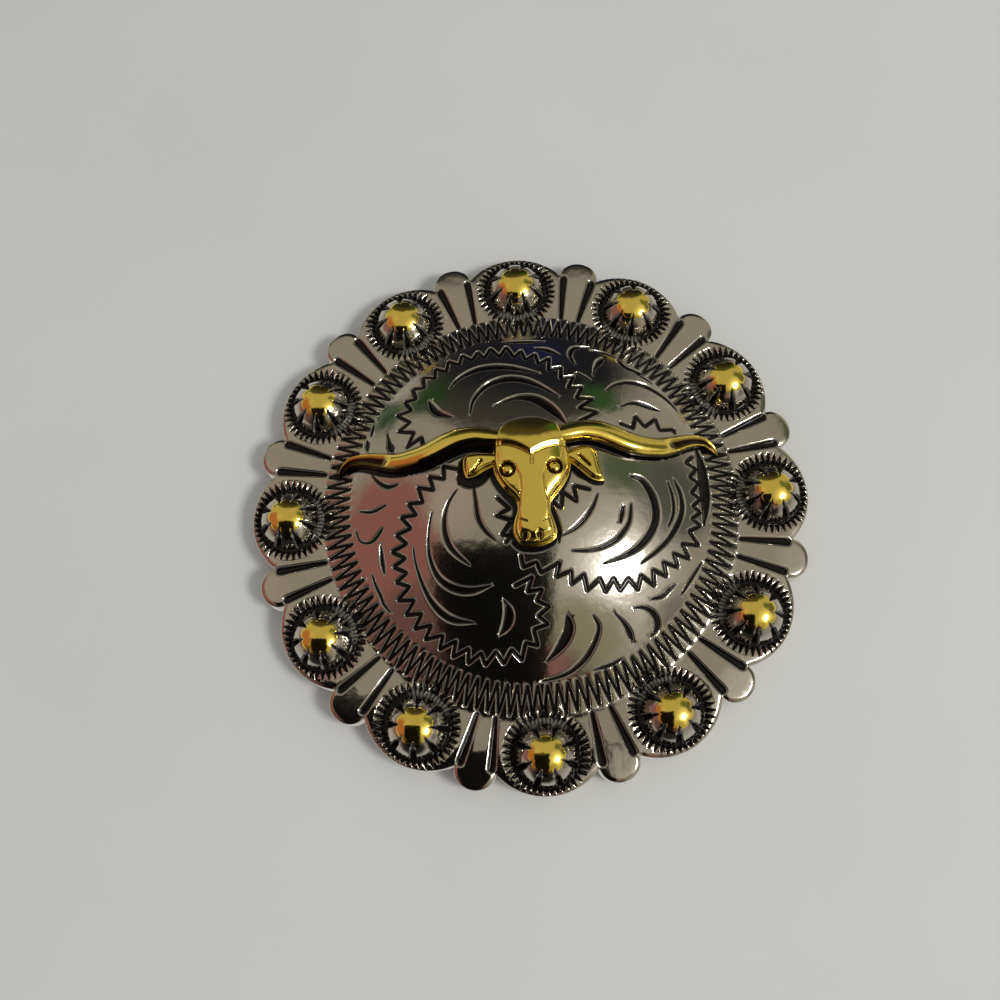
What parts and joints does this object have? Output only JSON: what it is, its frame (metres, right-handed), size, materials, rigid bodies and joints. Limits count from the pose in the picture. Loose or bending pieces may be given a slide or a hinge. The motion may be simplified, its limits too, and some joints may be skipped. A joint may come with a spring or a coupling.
{
  "type": "concho",
  "caption": "Round scalloped concho with raised berries round its edge, an engraved dome and a longhorn steer head laid over it, fastened by a screw from behind.",
  "frame": {"origin": "centre of the plane that the back rim lies on, below the middle of the dome", "axes": "+Z out of the face; +Y from the steer's muzzle towards its poll; +X along the horns"},
  "size_m": [0.038, 0.038, 0.0091],
  "materials": {
    "antiqued_nickel": "bright nickel plate on a zinc casting, blackened in the cuts, with gilt caps on the berries",
    "gilt": "bright gold plate on a zinc casting",
    "plain_nickel": "turned brass, nickel plated"
  },
  "bodies": {
    "root": {"body": "antiqued_nickel", "steer_head": "gilt", "screw_post": "plain_nickel"}
  },
  "joints": []
}
